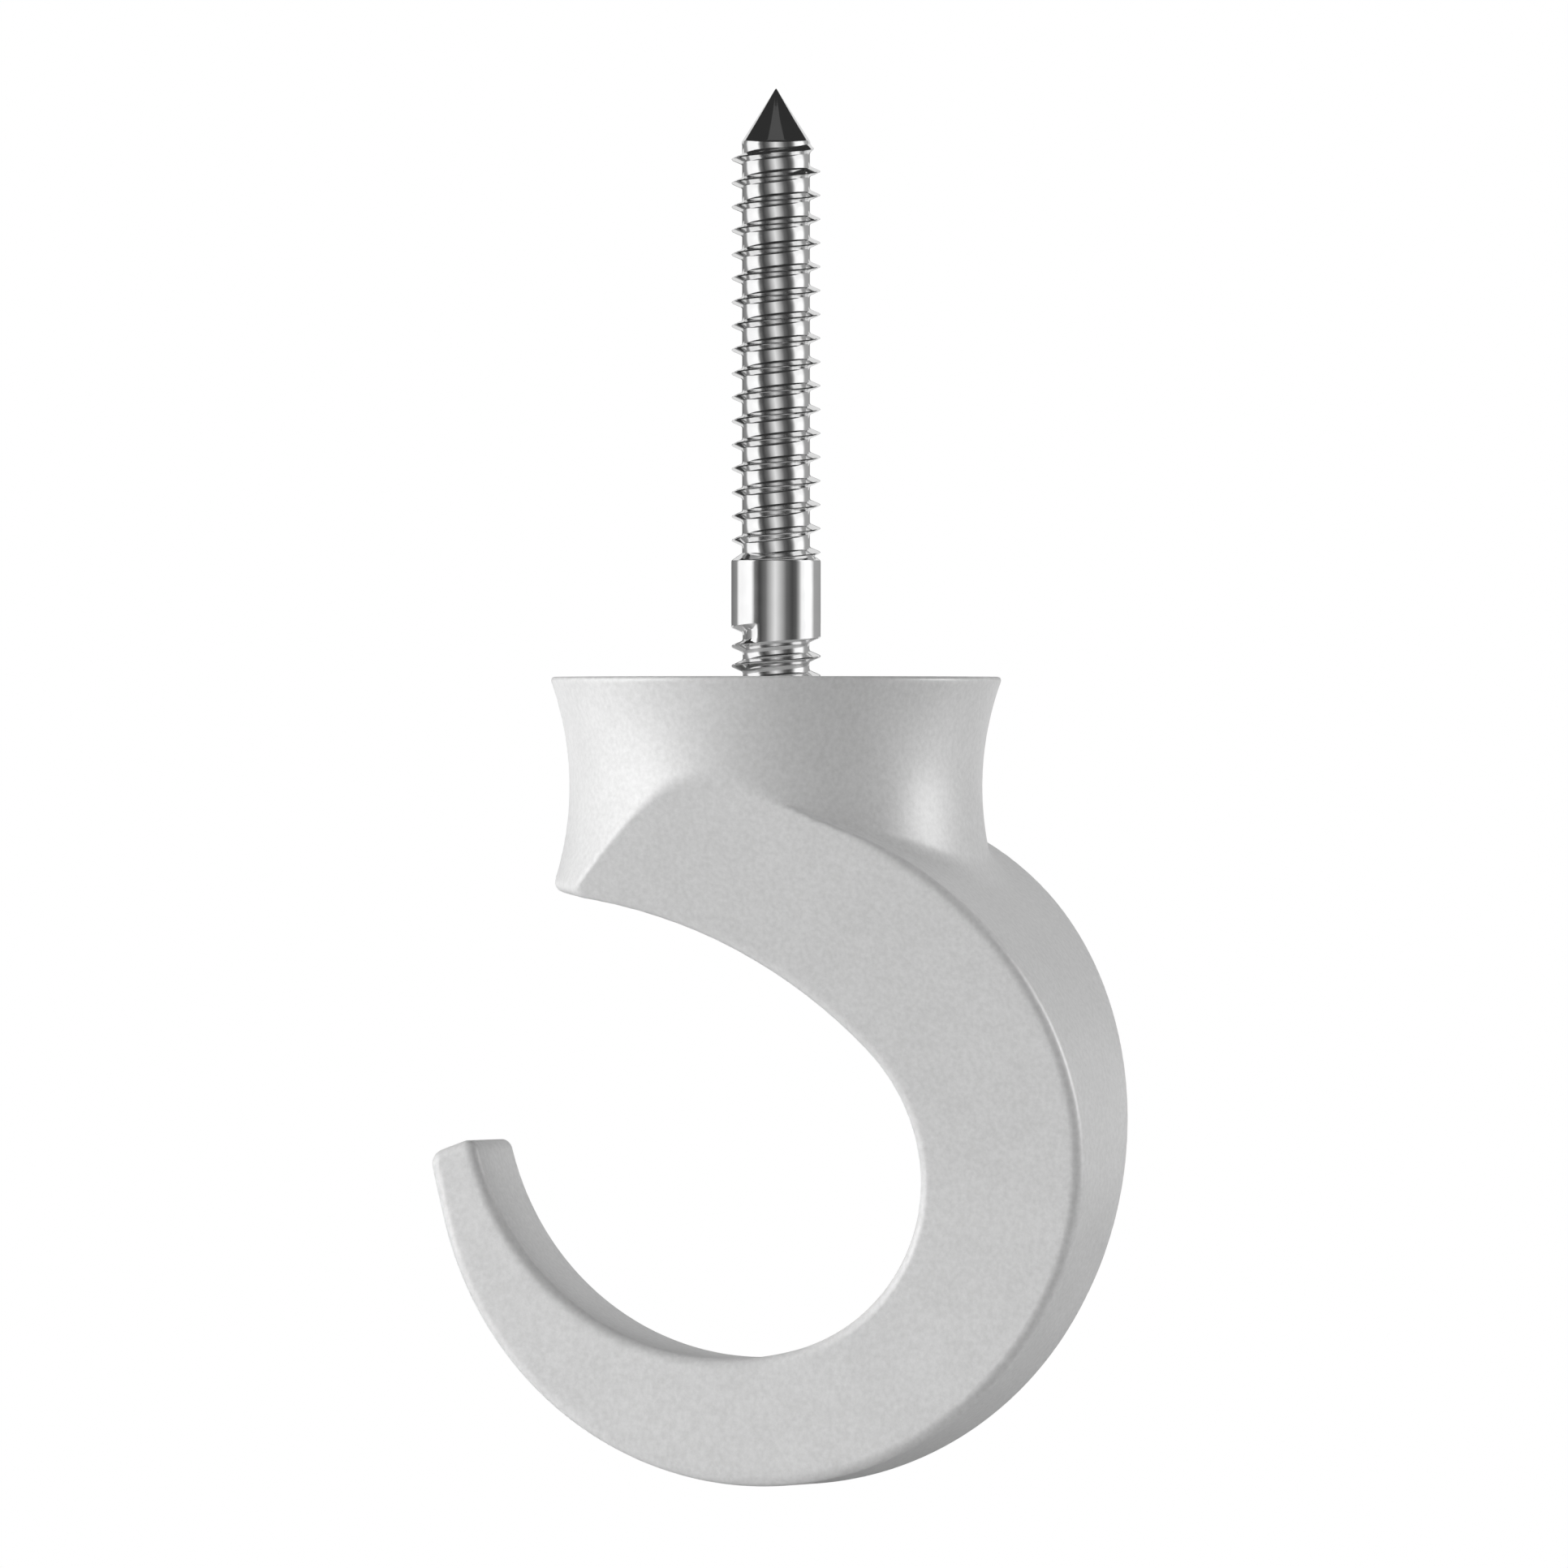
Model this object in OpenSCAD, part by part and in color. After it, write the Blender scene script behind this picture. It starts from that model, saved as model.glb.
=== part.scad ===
// Ceiling screw hook: a cast crescent hook under an hourglass collar, with a hanger screw.
//
// The casting is one piece. Its collar is a turned hourglass, cut away by two sloping flats, front
// and back, that run on down the arm as its faces. The arm is a crescent of tangent arcs with
// rounded edges. The hanger screw has a wood thread above, a plain shank, and a machine thread
// below, which is run into a blind hole in the collar.
// Millimetres. +Z is up, the origin is the centre of the collar's top face, and the hook's bend
// lies in the XZ plane, opening towards -X.

/* [Collar] */
// Diameter of the flat top face, measured to its sharp edge
collar_d = 24.5; // [23:0.1:28]
// Diameter at the waist, the collar's narrowest place
waist_d = 22.3; // [20:0.1:22.9]
// Depth of the waist below the top face
waist_drop = 5.95; // [5:0.05:7]
// Height of the collar
collar_h = 11.7; // [10.5:0.1:12.8]
// Rounding of the collar's upper and lower edges
collar_edge_r = 0.45; // [0.2:0.05:0.8]

/* [Hook outline] */
// Depth of the hook's lowest point below the collar's top face
hook_drop = 43.7; // [42:0.1:48]
// Radius of the outer outline along the bottom and up to the tip
outer_r = 18.75; // [18:0.05:21]
// Distance of the outer outline's centre beyond the screw's axis
outer_shift = 0.09; // [0:0.01:0.5]
// Radius of the outer outline over the crown, between the side and the collar
crown_r = 18.2; // [16:0.1:18.4]
// Radius of the bowl, where the load hangs
bowl_r = 9.9; // [8.8:0.1:10.6]
// Width of the arm at its side, between the bowl and the outer outline
side_wall = 9.3; // [8:0.1:11]
// Width of the arm under the bowl
bottom_wall = 7.05; // [6:0.05:8.5]
// Radius of the inner outline between the bowl and the tip
tip_inner_r = 14.85; // [13:0.05:16]

/* [Hook tip] */
// Angle about the outer outline's centre at which it runs on straight, counted from +X through -Z
tip_bend_angle = 166.5; // [155:0.5:172]
// Length of that straight stretch, up to the tip
tip_run = 3.58; // [2:0.01:6]
// Slope of the tip's end face, rising towards the bowl
tip_slope = 20; // [5:1:30]
// Rounding where the tip's end face meets its sides
tip_edge_r = 0.45; // [0.3:0.05:0.5]

/* [Faces and edges] */
// Thickness of the arm where it is a plain plate, along the bottom and the tip
plate_t = 6.35; // [5:0.05:8]
// Depth below the top face at which the sloping flats cut into the collar
flat_drop = 5.45; // [5:0.05:5.9]
// Angle of the flats from upright
flat_angle = 23.3; // [18:0.1:26]
// Radius of the hollow curve that takes each flat into the plain plate
face_r = 56; // [40:1:70]
// Rounding of the arm's long edges
edge_r = 0.6; // [0.55:0.05:1.3]

/* [Hanger screw] */
// Major diameter of both threads' shank
shank_d = 4.83; // [4:0.01:6]
// Length of the plain shank, with its chamfers
shank_l = 4.4; // [2:0.1:8]
// Height of the shank's lower end above the collar
shank_rise = 2.2; // [1:0.1:4]
// Diameter of the core inside the wood thread
core_d = 3.66; // [3:0.01:4.4]
// Height of the point's tip above the collar
screw_rise = 31.8; // [26:0.1:40]
// Length of the cone point
point_l = 2.85; // [2:0.05:5]
// Pitch of the wood thread
wood_pitch = 1.287; // [1:0.001:2]
// Width of the wood thread's ridge at its root, along the screw
wood_ridge_w = 0.56; // [0.3:0.01:0.8]
// Height of a wood crest where it crosses the +X side, which sets how the thread is turned
wood_level = 27.25; // [20:0.01:28]
// Minor diameter of the machine thread
minor_d = 3.6; // [3:0.01:4.2]
// Pitch of the machine thread
machine_pitch = 1.058; // [0.8:0.001:1.4]
// Width of the machine thread's ridge at its root, along the screw
machine_ridge_w = 0.72; // [0.4:0.01:0.9]
// Length of the machine thread inside the collar
screw_sunk = 6.3; // [4:0.1:8]

/* [Clearances] */
// Gap all round between the machine thread's crests and the hole
hole_clearance = 0.05; // [0.02:0.01:0.2]
// How far both threads' crests stay inside the shank's surface
crest_clearance = 0.015; // [0.01:0.005:0.1]
// How far the arm's faces stand proud of the collar's flats where one runs into the other
root_lap = 0.03; // [0.01:0.01:0.1]

/* [Hidden] */
$fn = 96;

casting_colour = [0.80, 0.80, 0.80];
steel_colour = [0.62, 0.62, 0.63];

throat_steps = 14;    // stations of the arm along the throat
bowl_steps = 28;      // stations round the bowl
tip_steps = 20;       // stations from the bowl to the tip
face_steps = 3;       // divisions across each face of the arm
edge_steps = 4;       // divisions of a rounded edge
turn_steps = 20;      // divisions of one turn of a thread
spare_turns = 2;      // turns of the strip past each end, where it closes onto the end's ring

// Collar: the waist's hollow is one arc through the top edge and the waist.
collar_r = collar_d / 2;
waist_r = waist_d / 2;
hollow_depth = collar_r - waist_r;
hollow_r = (waist_drop * waist_drop + hollow_depth * hollow_depth) / (2 * hollow_depth);
foot_rise = collar_h - waist_drop;
foot_r = waist_r + hollow_r - sqrt(hollow_r * hollow_r - foot_rise * foot_rise);

// Faces: a straight flat from the waist's surface, then a hollow arc that ends tangent to the plate.
plate_half = plate_t / 2;
face_turn_half = plate_half + face_r * (1 - cos(flat_angle));
face_turn_z = -flat_drop - (waist_r - face_turn_half) / tan(flat_angle);
face_end_z = face_turn_z - face_r * sin(flat_angle);

// Outer outline: a circle centred under the screw, the crown's tangent arc, and the tip's straight.
outer_c = [outer_shift, outer_r - hook_drop];
crown_start = -20.4;  // angle at which the crown's arc takes over from the circle
crown_end = 68;       // angle at which the outline runs straight on into the collar
crown_c = outer_c + (outer_r - crown_r) * ray(crown_start);
crown_point = crown_c + crown_r * ray(crown_end);
crown_x = 2.4;        // where that straight stretch ends, inside the collar
crown_run = (crown_point.x - crown_x) / sin(crown_end);

// Inner outline: the throat's arc leaves the collar's foot level and runs tangent into the bowl.
bowl_c = [outer_r - side_wall - bowl_r, bottom_wall + bowl_r - hook_drop];
throat_top = [-collar_r, -collar_h + 0.1];
throat_r = (pow(throat_top.x - bowl_c.x, 2) + pow(throat_top.y - bowl_c.y, 2) - bowl_r * bowl_r)
         / (2 * (throat_top.y - bowl_c.y - bowl_r));
throat_c = throat_top - [0, throat_r];
throat_end = atan2(bowl_c.y - throat_c.y, bowl_c.x - throat_c.x);
root_half = half_thickness(-collar_h);
root_x = -sqrt(pow(foot_r - collar_edge_r / 2, 2) - root_half * root_half);
throat_start = acos((root_x - throat_c.x) / throat_r);
bowl_end = -75;       // angle at which the tip's inner arc takes over from the bowl
tip_c = bowl_c + (bowl_r - tip_inner_r) * ray(bowl_end);

// Tip: the end face is a straight cut at its slope from the outer outline to the inner one.
bend_point = outer_c + outer_r * ray(-tip_bend_angle);
tip_outer = bend_point + tip_run * ray(-tip_bend_angle - 90);
tip_toward = ray(tip_slope);
tip_offset = tip_c - tip_outer;
tip_along = tip_offset * tip_toward;
tip_w = tip_along - sqrt(tip_inner_r * tip_inner_r - tip_offset * tip_offset + tip_along * tip_along);
tip_inner = tip_outer + tip_w * tip_toward;
tip_inner_end = atan2(tip_c.y - tip_inner.y, tip_c.x - tip_inner.x) - 180;

// Screw
shank_r = shank_d / 2;
crest_r = shank_r - crest_clearance;
core_r = core_d / 2;
minor_r = minor_d / 2;
hole_r = crest_r + hole_clearance;
shank_chamfer = 0.3;
shank_top_z = shank_rise + shank_l;
point_lap = 0.1;
point_foot_z = screw_rise - point_l;

function ray(angle) = [cos(angle), sin(angle)];
function mix(a, b, t) = a + (b - a) * t;

// Half the arm's thickness at a height, on the side where it grows towards the collar.
function half_thickness(z) =
    z > face_turn_z ? waist_r + (z + flat_drop) * tan(flat_angle)
    : z > face_end_z ? plate_half + face_r - sqrt(face_r * face_r - pow(z - face_end_z, 2))
    : plate_half;

// Points of the outlines from the root to the tip. Each of the three stretches runs over t = 0 to 1.
function throat_point(t) = throat_c + throat_r * ray(mix(throat_start, throat_end, t));
function bowl_point(t) = bowl_c + bowl_r * ray(mix(throat_end, bowl_end, t));
function tip_point(t) = tip_c + tip_inner_r * ray(mix(bowl_end, tip_inner_end, t));

function crown_stretch(t, arc_l = crown_r * (crown_end - throat_end) * PI / 180) =
    let (run = t * (crown_run + arc_l))
    run < crown_run
        ? crown_point + (crown_run - run) * ray(crown_end + 90)
        : crown_c + crown_r * ray(crown_end - (run - crown_run) / crown_r * 180 / PI);
function side_stretch(t) =
    let (angle = mix(throat_end, bowl_end, t))
    angle > crown_start ? crown_c + crown_r * ray(angle) : outer_c + outer_r * ray(angle);
function bottom_stretch(t, arc_l = outer_r * (tip_bend_angle + bowl_end) * PI / 180) =
    let (run = t * (arc_l + tip_run))
    run < arc_l
        ? outer_c + outer_r * ray(bowl_end - run / outer_r * 180 / PI)
        : bend_point + (run - arc_l) * ray(-tip_bend_angle - 90);

// One section of the arm, from its inner edge to its outer edge: rounded at all four corners.
// flared says whether the faces follow the collar's flats. inset shrinks the section all round.
function section_y(across, width, z, flared, inset) =
    let (
        half = (flared ? half_thickness(z) : plate_half) - inset,
        round_r = edge_r - inset,
        depth = min(across, width - across),
        bite = max(round_r - depth, 0)
    )
    half - round_r + sqrt(max(round_r * round_r - bite * bite, 0));

function across_steps(width, round_r) = concat(
    [for (i = [0 : edge_steps]) round_r * (1 - cos(i * 90 / edge_steps))],
    [for (i = [1 : face_steps - 1]) mix(round_r, width - round_r, i / face_steps)],
    [for (i = [edge_steps : -1 : 0]) width - round_r * (1 - cos(i * 90 / edge_steps))]
);

function section(inner, outer, flared, inset = 0, forward = [0, 0]) =
    let (
        full = norm(outer - inner),
        toward = (outer - inner) / full,
        width = full - 2 * inset,
        start = inner + inset * toward,
        steps = across_steps(width, edge_r - inset),
        last = len(steps) - 1,
        front = [for (s = steps) let (p = start + s * toward)
            [p.x + forward.x, -section_y(s, width, p.y, flared, inset), p.y + forward.y]],
        back = [for (i = [last : -1 : 0]) [front[i].x, -front[i].y, front[i].z]]
    )
    concat(front, back);

// A solid through rings of points, with flat ends.
module loft(rings) {
    ring_l = len(rings[0]);
    last = len(rings) - 1;
    sides = [for (i = [0 : last - 1]) for (j = [0 : ring_l - 1])
        let (k = (j + 1) % ring_l)
        each [
            [i * ring_l + j, (i + 1) * ring_l + k, (i + 1) * ring_l + j],
            [i * ring_l + j, i * ring_l + k, (i + 1) * ring_l + k]
        ]];
    start_cap = [for (j = [ring_l - 1 : -1 : 0]) j];
    end_cap = [for (j = [0 : ring_l - 1]) last * ring_l + j];
    polyhedron(
        points = [for (ring = rings) each ring],
        faces = concat([start_cap], sides, [end_cap])
    );
}

// The crescent arm, from inside the collar round to its rounded tip.
module arm() {
    tip_forward = [-tip_toward.y, tip_toward.x];
    throat = [for (i = [0 : throat_steps - 1]) let (t = i / throat_steps)
        section(throat_point(t), crown_stretch(t), true)];
    bowl = [for (i = [0 : bowl_steps - 1]) let (t = i / bowl_steps)
        section(bowl_point(t), side_stretch(t), true)];
    beyond = [for (i = [0 : tip_steps - 1]) let (t = i / tip_steps)
        section(tip_point(t), bottom_stretch(t), false)];
    rounded_end = [for (i = [0 : edge_steps]) let (angle = i * 90 / edge_steps)
        section(tip_inner, tip_outer, false,
            inset = tip_edge_r * (1 - cos(angle)), forward = tip_edge_r * (sin(angle) - 1) * tip_forward)];
    loft(concat(throat, bowl, beyond, rounded_end));
}

// What a rounding of radius r takes off a corner whose sides face along the unit vectors a and b.
module corner_waste(centre, r, a, b) {
    translate(centre) difference() {
        polygon([[0, 0], 2 * r * a, 2 * r * (a + b), 2 * r * b]);
        circle(r = r);
    }
}

// The collar's half profile: an hourglass with a hollow waist and rounded edges.
module collar_profile() {
    difference() {
        polygon([[0, 0], [collar_r, 0], [collar_r, -waist_drop], [foot_r, -collar_h], [0, -collar_h]]);
        translate([waist_r + hollow_r, -waist_drop])
            circle(r = hollow_r);
        corner_waste([collar_r - collar_edge_r, -collar_edge_r], collar_edge_r, [1, 0], [0, 1]);
        corner_waste([foot_r - collar_edge_r, collar_edge_r - collar_h], collar_edge_r, [1, 0], [0, -1]);
    }
}

// End view of the two flats that cut the collar: full width above, then sloping in. The lower
// corners are rounded like the arm's edges.
module flats_profile() {
    top_half = waist_r - root_lap;
    foot_half = half_thickness(-collar_h) - root_lap;
    corner = [foot_half - edge_r * tan((90 - flat_angle) / 2), edge_r - collar_h];
    facing = ray(-flat_angle);
    difference() {
        polygon([
            [-collar_d, 1], [collar_d, 1], [collar_d, -flat_drop],
            [top_half, -flat_drop], [foot_half, -collar_h],
            [-foot_half, -collar_h], [-top_half, -flat_drop], [-collar_d, -flat_drop]
        ]);
        corner_waste(corner, edge_r, facing, [0, -1]);
        corner_waste([-corner.x, corner.y], edge_r, [-facing.x, facing.y], [0, -1]);
    }
}

// The hourglass collar with its two flats.
module collar() {
    intersection() {
        rotate_extrude() collar_profile();
        rotate([90, 0, 90])
            linear_extrude(height = 2 * collar_d, center = true) flats_profile();
    }
}

module hook_body() {
    color(casting_colour) difference() {
        union() {
            collar();
            arm();
        }
        translate([0, 0, -screw_sunk])
            cylinder(r = hole_r, h = screw_sunk + 1);
    }
}

// One point of a threaded rod. step counts round the helix, and offset is the point's height above
// the crest line. Above to_z and below from_z everything closes onto the end's own ring. The ridge
// fades out over the last half turn below to_z.
function rod_point(step, offset, root_r, pitch, from_z, to_z, level_z) =
    let (
        angle = 360 * (step % turn_steps) / turn_steps,
        z = level_z + pitch * step / turn_steps + offset,
        fade = min(1, max(0, 2 * (to_z - z) / pitch)),
        r = offset == 0 && z > from_z ? mix(root_r, crest_r, fade) : root_r
    )
    [r * cos(angle), r * sin(angle), min(to_z, max(from_z, z))];

// A rod with a right-handed thread: a helical strip of three lines, root, crest and root, whose last
// line meets the first line of the next turn. Its crest crosses the +X side at level_z.
module threaded_rod(root_r, ridge_w, pitch, from_z, to_z, level_z) {
    first = turn_steps * (floor((from_z - level_z) / pitch) - spare_turns);
    last = turn_steps * (ceil((to_z - level_z) / pitch) + spare_turns);
    steps = last - first;
    points = [for (i = [0 : steps]) for (line = [-1 : 1])
        rod_point(first + i, line * ridge_w / 2, root_r, pitch, from_z, to_z, level_z)];
    flanks = [for (i = [0 : steps - 1]) for (line = [0 : 1])
        let (a = 3 * i + line)
        each [[a, a + 1, a + 4], [a, a + 4, a + 3]]];
    roots = [for (i = [0 : steps - turn_steps - 1])
        let (a = 3 * i + 2, b = 3 * (i + turn_steps))
        each [[a, b, b + 3], [a, b + 3, a + 3]]];
    bottom = [for (i = [0 : turn_steps - 1]) 3 * i];
    top = [for (i = [0 : turn_steps - 1]) 3 * (steps - i) - 1];
    polyhedron(points = points, faces = concat(flanks, roots, [bottom], [top]));
}

// The shank's bevels run on inside both rods, and the point has a short foot round the wood core.
module hanger_screw() {
    bevel = shank_chamfer / (shank_r - core_r);
    buried_r = minor_r - 0.2;
    buried_l = bevel * (shank_r - buried_r);
    color(steel_colour) {
        threaded_rod(core_r, wood_ridge_w, wood_pitch,
            shank_top_z - shank_l / 3, point_foot_z - point_lap, wood_level);
        rotate_extrude() polygon([
            [0, shank_rise + shank_chamfer - buried_l], [buried_r, shank_rise + shank_chamfer - buried_l],
            [shank_r, shank_rise + shank_chamfer], [shank_r, shank_top_z - shank_chamfer],
            [buried_r, shank_top_z - shank_chamfer + buried_l], [0, shank_top_z - shank_chamfer + buried_l]
        ]);
        rotate_extrude() polygon([
            [0, point_foot_z - 2 * point_lap], [core_r + crest_clearance, point_foot_z - 2 * point_lap],
            [core_r + crest_clearance, point_foot_z], [0, screw_rise]
        ]);
        threaded_rod(minor_r, machine_ridge_w, machine_pitch,
            -screw_sunk, shank_rise + shank_l / 3, 0);
    }
}

hook_body();
hanger_screw();
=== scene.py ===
import math

import bpy
import numpy as np
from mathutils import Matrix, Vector


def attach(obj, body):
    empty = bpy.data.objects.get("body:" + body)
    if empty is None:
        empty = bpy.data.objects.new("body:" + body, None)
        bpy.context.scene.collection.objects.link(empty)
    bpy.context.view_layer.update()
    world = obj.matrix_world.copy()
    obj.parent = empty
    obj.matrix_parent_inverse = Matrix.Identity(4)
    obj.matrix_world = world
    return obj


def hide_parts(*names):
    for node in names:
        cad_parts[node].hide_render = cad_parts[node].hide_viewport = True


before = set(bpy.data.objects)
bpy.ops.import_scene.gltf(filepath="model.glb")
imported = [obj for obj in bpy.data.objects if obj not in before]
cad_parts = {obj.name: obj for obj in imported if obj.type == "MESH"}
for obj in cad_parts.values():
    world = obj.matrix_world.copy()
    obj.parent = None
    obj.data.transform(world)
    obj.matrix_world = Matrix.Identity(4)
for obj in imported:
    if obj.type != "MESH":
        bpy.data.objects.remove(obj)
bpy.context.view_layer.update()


# ---------------------------------------------------------------------------------------------
# The hook casting
# One zinc casting: an hourglass collar and the thick crescent hook below it, poured together. Its
# mould lines are dressed off and its edges eased, and it is sprayed a matte pale grey lacquer.
# ---------------------------------------------------------------------------------------------

MM = 0.001

# Collar
COLLAR_R, WAIST_R = 12.25, 11.15
WAIST_DROP, COLLAR_H = 5.95, 11.6
RIM_EDGE, FOOT_EDGE = 0.28, 0.75
HOLLOW_R = (WAIST_DROP ** 2 + (COLLAR_R - WAIST_R) ** 2) / (2 * (COLLAR_R - WAIST_R))

# Flats: the two sloping faces that cut the collar and run down the arm into the plain plate
FLAT_DROP, FLAT_TILT, FACE_R = 5.45, math.radians(23.3), 56.0
PLATE_HALF = 6.35 / 2
FACE_TURN_HALF = PLATE_HALF + FACE_R * (1 - math.cos(FLAT_TILT))
FACE_TURN_Z = -FLAT_DROP - (WAIST_R - FACE_TURN_HALF) / math.tan(FLAT_TILT)
FACE_END_Z = FACE_TURN_Z - FACE_R * math.sin(FLAT_TILT)

# Hook outline. The angles are bearings in the hook's plane, where one arc takes over from the next.
# The last two close the tip's spans in the hook's open mouth, past 180 degrees.
HOOK_DROP, OUTER_R, CROWN_R = 43.69, 18.74, 18.19
OUTER_SHIFT = 0.09
BOWL_R, SIDE_WALL, BOTTOM_WALL = 9.9, 9.3, 7.05
TIP_INNER_R, TIP_RUN, TIP_SLOPE = 14.85, 3.58, math.radians(20)
CROWN_START, CROWN_END, TIP_BEND, BOWL_END = -20.4, 68.0, -166.5, -75.0
TIP_BEND_FAR, TIP_FAR = 125, 150
CROWN_ROOT_X, ARM_CUT_Z = 2.4, -20

# Eased edges, and the fillet between the collar and the back of the arm. The arm's edge grows from
# FLAT_EDGE to ARM_EDGE over EDGE_RUN as it leaves the collar, and the fillet grows along X.
ARM_EDGE, FLAT_EDGE, TIP_EDGE, EDGE_RUN = 0.6, 0.16, 0.72, 2.5
CROWN_FILLET, THROAT_FILLET = 0.7, 0.05
FILLET_FROM_X, FILLET_RUN = 3, 5
HOLE_R, HOLE_DEPTH, HOLE_EDGE = 2.45, 6.3, 0.2

# The net of quads: the box that it is drawn in, its cells' width, the slabs that it is worked out
# in to spare memory, its rounds of smoothing and the share of the way that each round goes
NET_LOW, NET_HIGH, NET_CELL, NET_SLABS = (-19.4, -12.6, -44.1), (19.4, 12.6, 0.4), 0.22, 12
NET_ROUNDS, NET_PULL = 4, 0.5
SLOPE_STEP, LEAST_SLOPE = 0.01, 0.05


def ray(degrees):
    return np.array([math.cos(math.radians(degrees)), math.sin(math.radians(degrees))])


OUTER_C = np.array([OUTER_SHIFT, OUTER_R - HOOK_DROP])
CROWN_C = OUTER_C + (OUTER_R - CROWN_R) * ray(CROWN_START)
CROWN_POINT = CROWN_C + CROWN_R * ray(CROWN_END)
BOWL_C = np.array([OUTER_R - SIDE_WALL - BOWL_R, BOTTOM_WALL + BOWL_R - HOOK_DROP])
THROAT_TOP = np.array([-COLLAR_R, -COLLAR_H])
THROAT_R = ((np.sum((THROAT_TOP - BOWL_C) ** 2) - BOWL_R ** 2)
            / (2 * (THROAT_TOP[1] - BOWL_C[1] - BOWL_R)))
THROAT_C = THROAT_TOP - np.array([0, THROAT_R])
THROAT_END = math.degrees(math.atan2(*(BOWL_C - THROAT_C)[::-1]))
TIP_C = BOWL_C + (BOWL_R - TIP_INNER_R) * ray(BOWL_END)
BEND_POINT = OUTER_C + OUTER_R * ray(TIP_BEND)
TIP_CORNER = BEND_POINT + TIP_RUN * ray(TIP_BEND - 90)


def smooth(t):
    t = np.clip(t, 0, 1)
    return t * t * (3 - 2 * t)


def shared(a, b, r):
    """How far outside both shapes' common part a point lies, with its edge eased to radius r."""
    return (np.minimum(np.maximum(a, b) + r, 0)
            + np.hypot(np.maximum(a + r, 0), np.maximum(b + r, 0)) - r)


def joined(a, b, r):
    """How far outside both shapes together a point lies, with a fillet of radius r between them."""
    return -shared(-a, -b, r)


def outline_depth(x, z):
    """How far a point of the hook's plane lies outside the arm's outline, and whether the tip's arc
    bounds it there. Inside the outline the depth is negative."""
    def off_arc(centre, r):
        return np.hypot(x - centre[0], z - centre[1]) - r

    def off_line(point, facing):
        return (x - point[0]) * facing[0] + (z - point[1]) * facing[1]

    def bearing(centre):
        return np.degrees(np.arctan2(z - centre[1], x - centre[0]))

    about, crown, bowl = bearing(OUTER_C), bearing(CROWN_C), bearing(BOWL_C)
    past_bend = (about < TIP_BEND) | (about > TIP_BEND_FAR)
    outer = np.select(
        [past_bend, crown > CROWN_END, crown > CROWN_START],
        [off_line(BEND_POINT, ray(TIP_BEND)), off_line(CROWN_POINT, ray(CROWN_END)),
         off_arc(CROWN_C, CROWN_R)],
        off_arc(OUTER_C, OUTER_R))
    on_tip = (bowl < BOWL_END) | (bowl >= TIP_FAR)
    on_throat = ~on_tip & (bowl > THROAT_END)
    inner = -np.select(
        [on_tip, on_throat],
        [off_arc(TIP_C, TIP_INNER_R), off_arc(THROAT_C, THROAT_R)],
        off_arc(BOWL_C, BOWL_R))
    across = np.maximum(outer, inner)
    cut = off_line(TIP_CORNER, np.array([-math.sin(TIP_SLOPE), math.cos(TIP_SLOPE)]))
    return np.where(on_tip, shared(across, cut, TIP_EDGE), across), on_tip


def face_depth(y, z, on_tip):
    """How far a point lies outside the two faces of the arm."""
    y = np.abs(y)
    sloping = (y - WAIST_R - (z + FLAT_DROP) * math.tan(FLAT_TILT)) * math.cos(FLAT_TILT)
    hollow = FACE_R - np.hypot(PLATE_HALF + FACE_R - y, z - FACE_END_Z)
    flat = y - PLATE_HALF
    return np.where(on_tip | (z < FACE_END_Z), flat, np.where(z < FACE_TURN_Z, hollow, sloping))


def casting_depth(x, y, z):
    """Distance of a point outside the finished casting, in millimetres."""
    r = np.hypot(x, y)
    waist = HOLLOW_R - np.hypot(r - WAIST_R - HOLLOW_R, z + WAIST_DROP)
    collar = shared(shared(waist, z, RIM_EDGE), -COLLAR_H - z, FOOT_EDGE)
    arm, on_tip = outline_depth(x, z)
    under_collar = (x < CROWN_ROOT_X) & ~on_tip & (z > ARM_CUT_Z)
    arm = np.where(under_collar, shared(arm, waist, FOOT_EDGE), arm)
    along_crown = smooth((x - FILLET_FROM_X) / FILLET_RUN)
    fillet = THROAT_FILLET + (CROWN_FILLET - THROAT_FILLET) * along_crown
    edge = FLAT_EDGE + (ARM_EDGE - FLAT_EDGE) * smooth((collar - arm) / EDGE_RUN)
    body = shared(joined(arm, collar, fillet), face_depth(y, z, on_tip), edge)
    hole = np.maximum(r - HOLE_R, -HOLE_DEPTH - z)
    return shared(body, -hole, HOLE_EDGE)


def slope(p):
    """The direction in which the depth grows at each point."""
    out = np.empty_like(p)
    for axis in range(3):
        up, down = p.copy(), p.copy()
        up[:, axis] += SLOPE_STEP
        down[:, axis] -= SLOPE_STEP
        out[:, axis] = (casting_depth(*up.T) - casting_depth(*down.T)) / (2 * SLOPE_STEP)
    return out


def settle(p, rounds):
    """Moves points along the slope until they lie on the casting's surface."""
    for _ in range(rounds):
        g = slope(p)
        share = casting_depth(*p.T) / np.maximum(np.sum(g * g, axis=1), LEAST_SLOPE)
        p = p - g * share[:, None]
    return p


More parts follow.
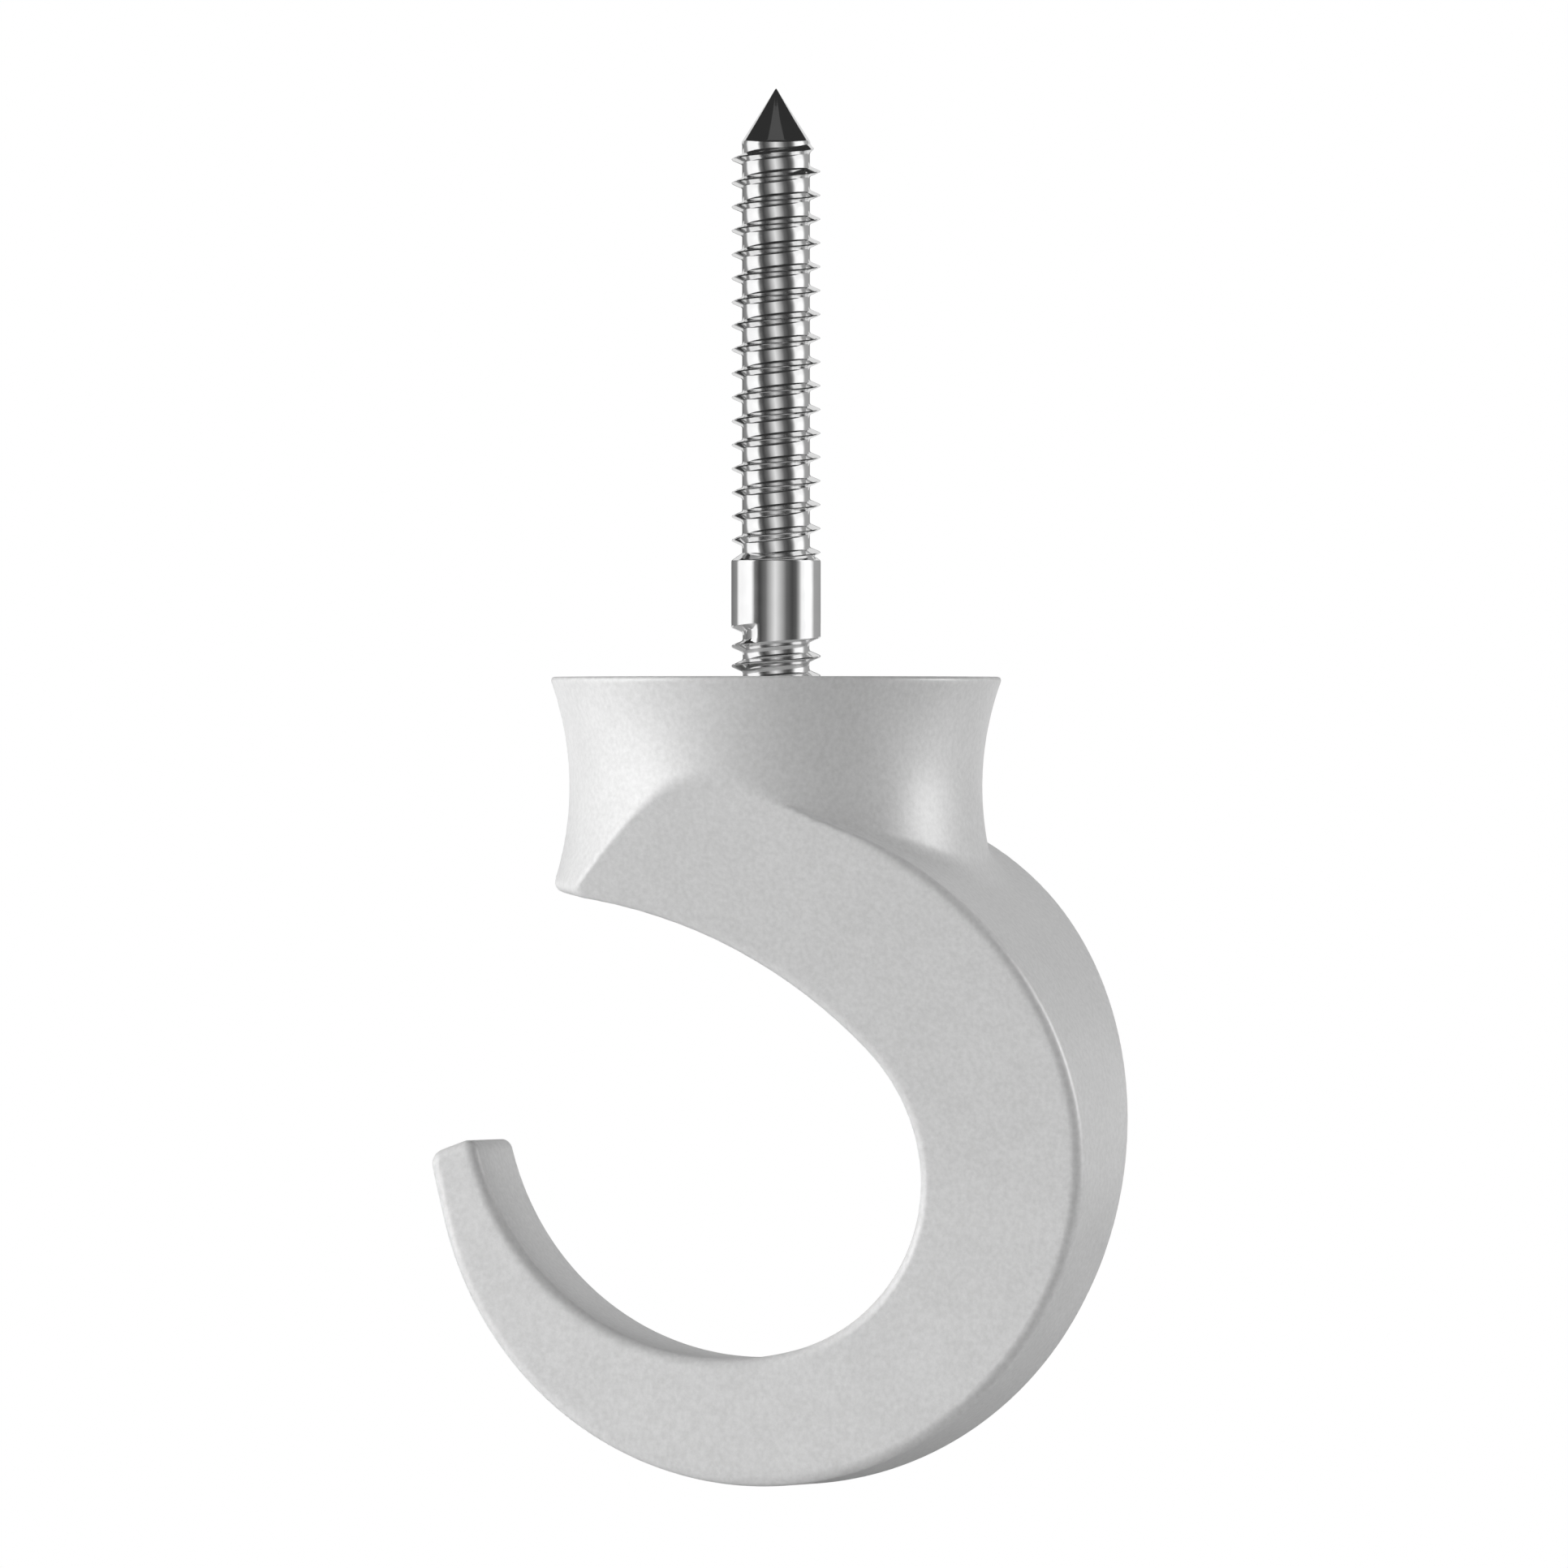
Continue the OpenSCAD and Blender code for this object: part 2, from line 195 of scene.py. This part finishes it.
def skin(low, high, step):
    """A closed net of quads round the casting, one point in each cell that its surface crosses."""
    axes = [np.arange(a, b + step, step) for a, b in zip(low, high)]
    grid = np.stack(np.meshgrid(*axes, indexing="ij"), -1)
    depth = np.concatenate([casting_depth(*slab.reshape(-1, 3).T).reshape(slab.shape[:-1])
                            for slab in np.array_split(grid, NET_SLABS)])
    solid = depth < 0
    corners = [(i, j, k) for i in (0, 1) for j in (0, 1) for k in (0, 1)]
    shape = [n - 1 for n in depth.shape]
    filled = sum(solid[i:i + shape[0], j:j + shape[1], k:k + shape[2]].astype(np.int8)
                 for i, j, k in corners)
    cells = np.argwhere((filled > 0) & (filled < 8))
    number = -np.ones(shape, int)
    number[tuple(cells.T)] = np.arange(len(cells))

    # A cell's point is the mean of the places where the surface crosses the cell's edges
    total, count = np.zeros((len(cells), 3)), np.zeros(len(cells))
    for a in corners:
        for axis in range(3):
            if a[axis]:
                continue
            b = tuple(c + (n == axis) for n, c in enumerate(a))
            va, vb = (depth[tuple((cells + c).T)] for c in (a, b))
            crossed = (va < 0) != (vb < 0)
            t = va[crossed] / (va[crossed] - vb[crossed])
            at = np.tile(np.array(a, float), (crossed.sum(), 1))
            at[:, axis] += t
            total[crossed] += at
            count[crossed] += 1
    points = np.array(low) + (cells + total / count[:, None]) * step

    # Each grid edge that the surface crosses gets a quad of the four cells round it, facing outward
    quads = []
    for axis in range(3):
        u, v = [n for n in range(3) if n != axis]
        first = np.take(solid, range(shape[axis]), axis)
        second = np.take(solid, range(1, shape[axis] + 1), axis)
        edges = np.argwhere(first != second)
        edges = edges[(edges[:, u] > 0) & (edges[:, v] > 0)
                      & (edges[:, u] < shape[u]) & (edges[:, v] < shape[v])]
        outward = first[tuple(edges.T)]
        around = []
        for du, dv in ((-1, -1), (0, -1), (0, 0), (-1, 0)):
            cell = edges.copy()
            cell[:, u] += du
            cell[:, v] += dv
            around.append(number[tuple(cell.T)])
        quad = np.stack(around, 1)
        flip = outward if axis == 1 else ~outward
        quad[flip] = quad[flip][:, ::-1]
        quads.append(quad)
    return points, np.concatenate(quads)


points, quads = skin(NET_LOW, NET_HIGH, NET_CELL)
points = settle(points, 3)
pairs = np.concatenate([quads[:, [a, (a + 1) % 4]] for a in range(4)])
for _ in range(NET_ROUNDS):
    pull, links = np.zeros_like(points), np.zeros(len(points))
    for a, b in (pairs.T, pairs.T[::-1]):
        np.add.at(pull, a, points[b])
        np.add.at(links, a, 1)
    points = settle(points + NET_PULL * (pull / links[:, None] - points), 1)
points = settle(points, 2)
facing = slope(points)
facing /= np.linalg.norm(facing, axis=1)[:, None]

casting_mesh = bpy.data.meshes.new("hook_casting")
casting_mesh.from_pydata((points * MM).tolist(), [], quads.tolist())
casting_mesh.polygons.foreach_set("use_smooth", [True] * len(casting_mesh.polygons))
casting_mesh.normals_split_custom_set_from_vertices(facing.tolist())
casting = bpy.data.objects.new("hook_casting", casting_mesh)
bpy.context.scene.collection.objects.link(casting)


def put(tree, kind, **settings):
    """Adds a node. Settings named in_NAME set or link its inputs, and the rest are its fields."""
    node = tree.nodes.new(kind)
    for key, value in settings.items():
        if not key.startswith("in_"):
            setattr(node, key, value)
    for key, value in settings.items():
        if key.startswith("in_"):
            key = key[3:]
            socket = node.inputs[int(key)] if key.isdigit() else node.inputs[key.replace("_", " ")]
            if isinstance(value, bpy.types.NodeSocket):
                tree.links.new(value, socket)
            else:
                socket.default_value = value
    return node


def new_material(name):
    material = bpy.data.materials.new(name)
    material.use_nodes = True
    tree = material.node_tree
    return material, tree, tree.nodes["Principled BSDF"]


NOISE_LOW, NOISE_HIGH = 0.3, 0.7   # the span of the noise that is spread


def speckle_group(name):
    """A node group with fine noise on Object coordinates. It gives the noise as it is, and spread
    between a low and a high value."""
    group = bpy.data.node_groups.new(name, "ShaderNodeTree")
    for label in ("Scale", "Detail", "Roughness", "Low", "High"):
        group.interface.new_socket(name=label, in_out="INPUT", socket_type="NodeSocketFloat")
    for label in ("Noise", "Value"):
        group.interface.new_socket(name=label, in_out="OUTPUT", socket_type="NodeSocketFloat")
    ends = group.nodes.new("NodeGroupInput").outputs
    place = put(group, "ShaderNodeTexCoord").outputs["Object"]
    noise = put(group, "ShaderNodeTexNoise", in_Vector=place, in_Scale=ends["Scale"],
                in_Detail=ends["Detail"], in_Roughness=ends["Roughness"]).outputs["Fac"]
    value = put(group, "ShaderNodeMapRange", in_0=noise, in_1=NOISE_LOW, in_2=NOISE_HIGH,
                in_3=ends["Low"], in_4=ends["High"]).outputs[0]
    put(group, "NodeGroupOutput", in_Noise=noise, in_Value=value)
    return group


speckle = speckle_group("speckle")


def speckled(tree, low, high, scale, detail=2.0, roughness=0.5):
    return put(tree, "ShaderNodeGroup", node_tree=speckle, in_Scale=scale, in_Detail=detail,
               in_Roughness=roughness, in_Low=low, in_High=high).outputs


# A sprayed coat: fine grain, and a broader cloud in its tone and its gloss
LACQUER_GREY = (0.60, 0.60, 0.60, 1)
GRAIN_SCALE, CLOUD_SCALE = 3600.0, 420.0
GRAIN_HEIGHT, GRAIN_STRENGTH = 0.00003, 0.25

lacquer, tree, shader = new_material("matte_grey_lacquer")
grain = speckled(tree, 0.925, 1.075, GRAIN_SCALE, detail=3.0, roughness=0.6)
cloud = speckled(tree, 0.985, 1.015, CLOUD_SCALE)
tone = put(tree, "ShaderNodeMath", operation="MULTIPLY", in_0=grain["Value"], in_1=cloud["Value"])
tint = put(tree, "ShaderNodeMix", data_type="RGBA", blend_type="MULTIPLY",
           in_0=1.0, in_6=LACQUER_GREY, in_7=tone.outputs[0])
tree.links.new(tint.outputs[2], shader.inputs["Base Color"])
gloss = speckled(tree, 0.36, 0.40, CLOUD_SCALE)
tree.links.new(gloss["Value"], shader.inputs["Roughness"])
pimple = put(tree, "ShaderNodeBump", in_Strength=GRAIN_STRENGTH, in_Distance=GRAIN_HEIGHT,
             in_Height=grain["Noise"])
tree.links.new(pimple.outputs[0], shader.inputs["Normal"])
shader.inputs["Specular IOR Level"].default_value = 0.8
casting_mesh.materials.append(lacquer)

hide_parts("hook_body")
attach(casting, "root")


# ---------------------------------------------------------------------------------------------
# The hanger screw
# A bright plated steel screw with two rolled threads: a coarse wood thread under a cone point, and
# a finer machine thread that is driven into the collar, with a plain turned shank between them.
# ---------------------------------------------------------------------------------------------

# Radii of the shank, of the two threads' crests and of the two threads' cores
SHANK_R, WOOD_CREST_R, MACHINE_CREST_R, CORE_R, MINOR_R = 2.415, 2.4, 2.411, 1.83, 1.8
SCREW_END, SCREW_TOP = -6.3, 31.8
SHANK_LOW, SHANK_HIGH, BEVEL_TOP = 2.88, 6.2, 6.85
POINT_LOW, POINT_FOOT = 28.72, 28.92
SIDES, SHARP_ANGLE = 96, math.radians(28)

# A ridge's section has five stations, from the middle of its crest to the middle of the groove.
# RIDGE_HEIGHTS has the share of the ridge's height at each. The flank's foot and the root's end
# lie at these shares of half the ridge's width.
RIDGE_HEIGHTS = (1.0, 0.96, 0.08, 0.0, 0.0)
FLANK_REACH, ROOT_REACH = 0.88, 1.24
RAISED_PITCHES = 0.3   # pitches over which a ridge rises at its low end
SPARE_TURNS = 2.0      # turns that the strip is longer at each end
SPARE_PITCHES = 1.02   # pitches of those turns that are kept
FILLED_TURNS = 0.05    # half the stretch, in turns, in which a groove fills up to the crests
MERGED = 1e-6          # metres within which the strip's points become one


def turned(profile, sides):
    """A closed turned form about the Z axis, through (radius, height) points. Both ends of the
    outline lie on the axis."""
    rings = [(r, z) for r, z in profile if r > 0]
    verts = [(0, 0, profile[0][1] * MM)]
    for r, z in rings:
        for n in range(sides):
            angle = 2 * math.pi * n / sides
            verts.append((r * math.cos(angle) * MM, r * math.sin(angle) * MM, z * MM))
    verts.append((0, 0, profile[-1][1] * MM))
    faces = []
    for n in range(sides):
        m = (n + 1) % sides
        faces.append((0, 1 + m, 1 + n))
        for k in range(len(rings) - 1):
            a, b = 1 + k * sides, 1 + (k + 1) * sides
            faces.append((a + n, a + m, b + m, b + n))
        top = 1 + (len(rings) - 1) * sides
        faces.append((top + n, top + m, len(verts) - 1))
    return verts, faces


THREAD_SIZES = ("Core Radius", "Outer Radius", "Pitch", "Ridge Width", "Crest Width",
                "Crest Level", "Low End", "High End", "Run Out")
THREAD_TURNS = ("Groove End",)


def thread_tree(name):
    """A node tree that adds both rolled threads to the turned blank. Each is a strip wound round
    the core. From its groove end on, counted in turns, its groove is filled up to the crests."""
    tree = bpy.data.node_groups.new(name, "GeometryNodeTree")
    face = tree.interface

    def offer(label, kind="NodeSocketFloat"):
        face.new_socket(name=label, in_out="INPUT", socket_type=kind)

    offer("Blank", "NodeSocketGeometry")
    for which in ("Wood", "Machine"):
        for label in THREAD_SIZES + THREAD_TURNS:
            offer(which + " " + label)
    offer("Steps per Turn", "NodeSocketInt")
    offer("Steel", "NodeSocketMaterial")
    face.new_socket(name="Screw", in_out="OUTPUT", socket_type="NodeSocketGeometry")
    ends = tree.nodes.new("NodeGroupInput").outputs

    def maths(operation, a, b=0.0):
        return put(tree, "ShaderNodeMath", operation=operation, in_0=a, in_1=b).outputs[0]

    def ramp(value, from_low, from_high, to_low, to_high, how="LINEAR"):
        return put(tree, "ShaderNodeMapRange", interpolation_type=how, in_0=value,
                   in_1=from_low, in_2=from_high, in_3=to_low, in_4=to_high).outputs[0]

    def through(station, values):
        """The value at a station, which runs straight from each of the values to the next."""
        total = values[0]
        for n, (a, b) in enumerate(zip(values, values[1:])):
            total = maths("ADD", total, ramp(station, n, n + 1.0, 0.0, maths("SUBTRACT", b, a)))
        return total

    def thread(which):
        core, outer, pitch, ridge, crest, level, low, high, run_out, groove_end = (
            ends[which + " " + label] for label in THREAD_SIZES + THREAD_TURNS)

        def turns_to(height, rounding):
            return maths(rounding, maths("DIVIDE", maths("SUBTRACT", height, level), pitch))

        # The strip is a flat grid of unit size: X runs along the thread and Y across a ridge
        first = maths("SUBTRACT", turns_to(low, "FLOOR"), SPARE_TURNS)
        last = maths("ADD", turns_to(high, "CEIL"), SPARE_TURNS)
        turns = maths("SUBTRACT", last, first)
        steps = maths("MULTIPLY", turns, ends["Steps per Turn"])
        count = maths("ADD", steps, 1.5)   # one more than the steps, clear of rounding down
        stations = len(RIDGE_HEIGHTS) - 1
        net = put(tree, "GeometryNodeMeshGrid", in_Size_X=1.0, in_Size_Y=1.0, in_Vertices_X=count,
                  in_Vertices_Y=2 * stations + 1)
        at = put(tree, "GeometryNodeInputPosition").outputs[0]
        spot = put(tree, "ShaderNodeSeparateXYZ", in_0=at).outputs
        turn = maths("ADD", first, maths("MULTIPLY", maths("ADD", spot["X"], 0.5), turns))
        side = maths("SIGN", spot["Y"])
        station = maths("MULTIPLY", maths("ABSOLUTE", spot["Y"]), 2.0 * stations)

        # Height of each point along the screw
        half_crest, half_ridge, half_pitch = (
            maths("MULTIPLY", width, 0.5) for width in (crest, ridge, pitch))
        reach = through(station, [
            0.0, half_crest, maths("MULTIPLY", half_ridge, FLANK_REACH),
            maths("MULTIPLY", half_ridge, ROOT_REACH), half_pitch])
        middle = maths("ADD", level, maths("MULTIPLY", pitch, turn))
        free = maths("ADD", middle, maths("MULTIPLY", side, reach))
        height = maths("MINIMUM", maths("MAXIMUM", free, low), high)

        # Its distance from the axis: the ridge fades at both ends, and the filled groove stands
        raised = maths("ADD", low, maths("MULTIPLY", pitch, RAISED_PITCHES))
        fade = maths("MULTIPLY",
                     ramp(free, maths("SUBTRACT", high, run_out), high, 1.0, 0.0, "SMOOTHSTEP"),
                     ramp(free, low, raised, 0.0, 1.0, "SMOOTHSTEP"))
        groove = maths("ADD", turn, maths("MINIMUM", side, 0.0))   # the turn that it lies above
        filled = ramp(groove, maths("SUBTRACT", groove_end, FILLED_TURNS),
                      maths("ADD", groove_end, FILLED_TURNS), 0.0, 1.0)
        rise = maths("MULTIPLY", through(station, list(RIDGE_HEIGHTS)), fade)
        proud = maths("MULTIPLY", maths("SUBTRACT", outer, core), maths("MAXIMUM", rise, filled))

        # What lies well past an end is drawn in to the axis, where its points merge
        spare = maths("MULTIPLY", pitch, SPARE_PITCHES)
        kept = maths("MULTIPLY", maths("LESS_THAN", free, maths("ADD", high, spare)),
                     maths("GREATER_THAN", free, maths("SUBTRACT", low, spare)))
        radius = maths("MULTIPLY", maths("ADD", core, proud), kept)
        angle = maths("MULTIPLY", turn, 2 * math.pi)
        across = maths("MULTIPLY", radius, maths("COSINE", angle))
        along = maths("MULTIPLY", radius, maths("SINE", angle))
        where = put(tree, "ShaderNodeCombineXYZ", in_X=across, in_Y=along, in_Z=height).outputs[0]
        wound = put(tree, "GeometryNodeSetPosition", in_Geometry=net.outputs["Mesh"],
                    in_Position=where).outputs[0]
        return put(tree, "GeometryNodeMergeByDistance", in_Geometry=wound,
                   in_Distance=MERGED).outputs[0]

    whole = put(tree, "GeometryNodeJoinGeometry")
    for part in (thread("Machine"), thread("Wood"), ends["Blank"]):
        tree.links.new(part, whole.inputs[0])
    real = put(tree, "GeometryNodeRealizeInstances", in_0=whole.outputs[0]).outputs[0]
    painted = put(tree, "GeometryNodeSetMaterial", in_Geometry=real, in_Material=ends["Steel"])
    put(tree, "NodeGroupOutput", in_0=painted.outputs[0])
    return tree


# Bright plating over the fine marks that turning leaves round the screw
MARK_SCALE, MARK_HEIGHT, MARK_STRENGTH = (60.0, 60.0, 9000.0), 0.00001, 0.12
PLATING_SCALE = 900.0

plated, tree, shader = new_material("bright_plated_steel")
shader.inputs["Metallic"].default_value = 1.0
rough = speckled(tree, 0.07, 0.11, PLATING_SCALE, detail=3.0)
tree.links.new(rough["Value"], shader.inputs["Roughness"])
sheen = speckled(tree, 0.88, 0.92, PLATING_SCALE, detail=3.0)
tree.links.new(sheen["Value"], shader.inputs["Base Color"])
place = put(tree, "ShaderNodeTexCoord").outputs["Object"]
lines = put(tree, "ShaderNodeMapping", in_Vector=place, in_Scale=MARK_SCALE)
marks = put(tree, "ShaderNodeTexNoise", in_Vector=lines.outputs[0], in_Scale=1.0, in_Detail=2.0)
turning = put(tree, "ShaderNodeBump", in_Strength=MARK_STRENGTH, in_Distance=MARK_HEIGHT,
              in_Height=marks.outputs["Fac"])
tree.links.new(turning.outputs[0], shader.inputs["Normal"])

# Outlines of the blank's two turned pieces. A second ring close to an edge keeps it crisp.
shank = [(0, SHANK_LOW), (SHANK_R, SHANK_LOW), (SHANK_R, SHANK_LOW + 0.04),
         (SHANK_R, SHANK_HIGH), (SHANK_R, SHANK_HIGH + 0.02), (2.395, 6.29), (2.34, 6.34),
         (1.6, BEVEL_TOP), (0, BEVEL_TOP)]
point_r = CORE_R + 0.012
point = [(0, POINT_LOW), (point_r, POINT_LOW), (point_r, POINT_FOOT), (1.80, 29.0),
         (0.06, SCREW_TOP - 0.06), (0, SCREW_TOP)]
blank_mesh = bpy.data.meshes.new("screw_blank")
verts, faces = turned(shank, SIDES)
point_verts, point_faces = turned(point, SIDES)
faces += [tuple(i + len(verts) for i in face) for face in point_faces]
blank_mesh.from_pydata(verts + point_verts, [], faces)
blank = bpy.data.objects.new("screw_blank", blank_mesh)
bpy.context.scene.collection.objects.link(blank)

# Each thread's radii at its core and crest, its pitch, the widths of its ridge at the foot and the
# crest, a level that a crest passes, its two ends and its run-out, as in THREAD_SIZES. The wood
# thread's groove is filled nowhere. The machine thread's ends in a spiral shoulder at the shank.
wood = (CORE_R, WOOD_CREST_R, 1.287, 0.56, 0.07, 27.25, 5.2, 28.85, 0.65)
machine = (MINOR_R, MACHINE_CREST_R, 1.058, 0.64, 0.1, 0.0, SCREW_END, 3.2, 0.05)
inputs = {"Wood Groove End": 1000.0, "Machine Groove End": 1.68,
          "Steps per Turn": 80, "Steel": plated}
for which, sizes in (("Wood ", wood), ("Machine ", machine)):
    inputs.update({which + label: size * MM for label, size in zip(THREAD_SIZES, sizes)})
threads = thread_tree("rolled_threads")
modifier = blank.modifiers.new("rolled_threads", "NODES")
modifier.node_group = threads
for socket in threads.interface.items_tree:
    if socket.name in inputs:
        modifier[socket.identifier] = inputs[socket.name]
evaluated = blank.evaluated_get(bpy.context.evaluated_depsgraph_get())
screw_mesh = bpy.data.meshes.new_from_object(evaluated)
bpy.data.objects.remove(blank)
screw_mesh.name = "hanger_screw_turned"
screw_mesh.polygons.foreach_set("use_smooth", [True] * len(screw_mesh.polygons))
screw_mesh.set_sharp_from_angle(angle=SHARP_ANGLE)
screw = bpy.data.objects.new("hanger_screw_turned", screw_mesh)
bpy.context.scene.collection.objects.link(screw)
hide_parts("hanger_screw")
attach(screw, "root")


# ---------------------------------------------------------------------------------------------
# The studio
# The hook hangs over a pale floor in front of plain white. Large soft lamps stand on its left and
# its right, and cards that only reflections show draw the bright and dark bands on the steel.
# ---------------------------------------------------------------------------------------------

AZIMUTH = math.radians(19.5)
TOWARD_CAMERA = np.array([math.sin(AZIMUTH), -math.cos(AZIMUTH), 0.0])
RIGHTWARD = np.array([math.cos(AZIMUTH), math.sin(AZIMUTH), 0.0])
UPWARD = np.array([0.0, 0.0, 1.0])
CENTRE = (RIGHTWARD * 0.43 - UPWARD * 5.79) * MM
FRAME_WIDTH, DISTANCE, SENSOR = 84.74 * MM, 1.5, 36


def direction(degrees, elevation):
    """The way out from the hook. Degrees count from the camera, to the right as seen from it."""
    turn, up = math.radians(degrees), math.radians(elevation)
    flat = TOWARD_CAMERA * math.cos(turn) + RIGHTWARD * math.sin(turn)
    return flat * math.cos(up) + UPWARD * math.sin(up)


def aim(obj, position, target):
    obj.location = position
    obj.rotation_euler = (Vector(target) - Vector(position)).to_track_quat("-Z", "Y").to_euler()


lens = bpy.data.cameras.new("camera")
lens.sensor_width = SENSOR
lens.lens = SENSOR * DISTANCE / FRAME_WIDTH
lens.clip_start, lens.clip_end = 0.1, 20
camera = bpy.data.objects.new("camera", lens)
bpy.context.scene.collection.objects.link(camera)
aim(camera, CENTRE + DISTANCE * TOWARD_CAMERA, CENTRE)
bpy.context.scene.camera = camera

LAMP_DISTANCE, LAMP_TARGET = 0.8, (0, 0, -0.01)


def lamp(name, degrees, elevation, width, height, watts, mirrored=True):
    """A soft rectangular lamp that the camera doesn't see. Reflections show it only if mirrored."""
    data = bpy.data.lights.new(name, "AREA")
    data.shape, data.size, data.size_y, data.energy = "RECTANGLE", width, height, watts
    obj = bpy.data.objects.new(name, data)
    bpy.context.scene.collection.objects.link(obj)
    aim(obj, direction(degrees, elevation) * LAMP_DISTANCE, LAMP_TARGET)
    obj.visible_glossy = mirrored
    obj.visible_camera = False


lamp("lamp_left", -72, -6, 0.43, 0.7, 6.4)
lamp("lamp_far_left", -104, -6, 0.43, 0.7, 2.4)
lamp("lamp_left_high", -84, 42, 0.5, 0.5, 2.0, mirrored=False)
lamp("lamp_right", 92, 9, 0.27, 0.32, 2.75)
lamp("lamp_right_high", 80, 35, 0.3, 0.3, 1.3, mirrored=False)
lamp("lamp_front_left", -50, -6, 0.3, 0.5, 2.7, mirrored=False)

# The world is white where it is seen or mirrored, and a weak even fill everywhere else
WHITE, FILL_STRENGTH, SEEN_STRENGTH = (1, 1, 1, 1), 0.1, 1.0

world = bpy.data.worlds.new("plain_studio")
bpy.context.scene.world = world
world.use_nodes = True
tree = world.node_tree
tree.nodes.clear()
paths = put(tree, "ShaderNodeLightPath").outputs
mirror = put(tree, "ShaderNodeMath", operation="MAXIMUM", in_0=paths["Is Glossy Ray"],
             in_1=paths["Is Transmission Ray"])
seen = put(tree, "ShaderNodeMath", operation="MAXIMUM", in_0=paths["Is Camera Ray"],
           in_1=mirror.outputs[0])
fill = put(tree, "ShaderNodeBackground", in_Color=WHITE, in_Strength=FILL_STRENGTH)
backdrop = put(tree, "ShaderNodeBackground", in_Color=WHITE, in_Strength=SEEN_STRENGTH)
both = put(tree, "ShaderNodeMixShader", in_0=seen.outputs[0], in_1=fill.outputs[0],
           in_2=backdrop.outputs[0])
put(tree, "ShaderNodeOutputWorld", in_Surface=both.outputs[0])


def stage_mesh(name, verts, faces, material):
    mesh = bpy.data.meshes.new(name)
    mesh.from_pydata(verts, [], faces)
    mesh.materials.append(material)
    obj = bpy.data.objects.new(name, mesh)
    bpy.context.scene.collection.objects.link(obj)
    return obj


FLOOR_Z, FLOOR_HALF = -0.12, 0.9
floor_paint, tree, shader = new_material("pale_floor")
shader.inputs["Base Color"].default_value = (0.9, 0.9, 0.9, 1)
shader.inputs["Roughness"].default_value = 0.7
corners = [(-1, -1), (1, -1), (1, 1), (-1, 1)]
stage_mesh("floor", [(x * FLOOR_HALF, y * FLOOR_HALF, FLOOR_Z) for x, y in corners],
           [(0, 1, 2, 3)], floor_paint)


def glow(name, grey=1.0):
    """A material that gives off one even grey."""
    paint = bpy.data.materials.new(name)
    paint.use_nodes = True
    tree = paint.node_tree
    tree.nodes.clear()
    light = put(tree, "ShaderNodeEmission", in_Color=(grey, grey, grey, 1), in_Strength=1.0)
    put(tree, "ShaderNodeOutputMaterial", in_Surface=light.outputs[0])
    return paint


CARD_COLUMNS, CARD_ROWS = 48, 8


def card(name, paint, from_degrees, to_degrees, low, high, radius):
    """A card curved round the hook between two bearings and two elevations, which only reflections
    show."""
    verts, faces = [], []
    for i in range(CARD_ROWS + 1):
        elevation = low + (high - low) * i / CARD_ROWS
        for n in range(CARD_COLUMNS + 1):
            degrees = from_degrees + (to_degrees - from_degrees) * n / CARD_COLUMNS
            verts.append(tuple(direction(degrees, elevation) * radius))
            if i and n:
                k = i * (CARD_COLUMNS + 1) + n
                faces.append((k - CARD_COLUMNS - 2, k - CARD_COLUMNS - 1, k, k - 1))
    obj = stage_mesh(name, verts, faces, paint)
    obj.visible_camera = obj.visible_diffuse = obj.visible_shadow = False


# Greys of the ring round the hook, as pairs of a bearing in degrees and a brightness. They give the
# screw two white bands with a grey one between them, and dark bands beside each.
RING_GREYS = [
    (-180, 0.12), (-122, 0.28), (-112, 1.0), (-67, 1.0), (-57, 0.15), (-43, 0.055),
    (-27, 0.17), (-2, 0.82), (27, 0.14), (42, 0.065), (53, 0.11), (61, 0.33),
    (70, 1.0), (104, 1.0), (116, 0.38), (180, 0.3)]

ring_glow = glow("card_ring")
tree = ring_glow.node_tree
place = put(tree, "ShaderNodeTexCoord").outputs["Object"]
spun = put(tree, "ShaderNodeVectorRotate", rotation_type="Z_AXIS", in_Vector=place,
           in_Angle=math.pi / 2 - AZIMUTH)
bearing = put(tree, "ShaderNodeTexGradient", gradient_type="RADIAL", in_Vector=spun.outputs[0])
greys = put(tree, "ShaderNodeValToRGB", in_Fac=bearing.outputs["Fac"])
stops = greys.color_ramp.elements
for n, (degrees, grey) in enumerate(RING_GREYS):
    stop = stops[n] if n < 2 else stops.new(1)
    stop.position = 0.5 + degrees / 360
    stop.color = (grey, grey, grey, 1)
tree.links.new(greys.outputs[0], tree.nodes["Emission"].inputs["Color"])

card("card_ring", ring_glow, -180, 180, -28, 28, 0.25)
card("card_above", glow("card_above", 0.03), -180, 180, 28, 89, 0.25)
card("card_gleam", glow("card_gleam", 0.08), -42, 42, 50, 75, 0.22)
card("card_below", glow("card_below", 0.04), -180, 180, -89, -20, 0.11)
card("card_back_high", glow("card_back_high", 0.75), 145, 215, 12, 34, 0.2)
card("card_back_low", glow("card_back_low", 0.75), 145, 215, -20, -1, 0.2)

bpy.context.scene.view_settings.view_transform = "Standard"
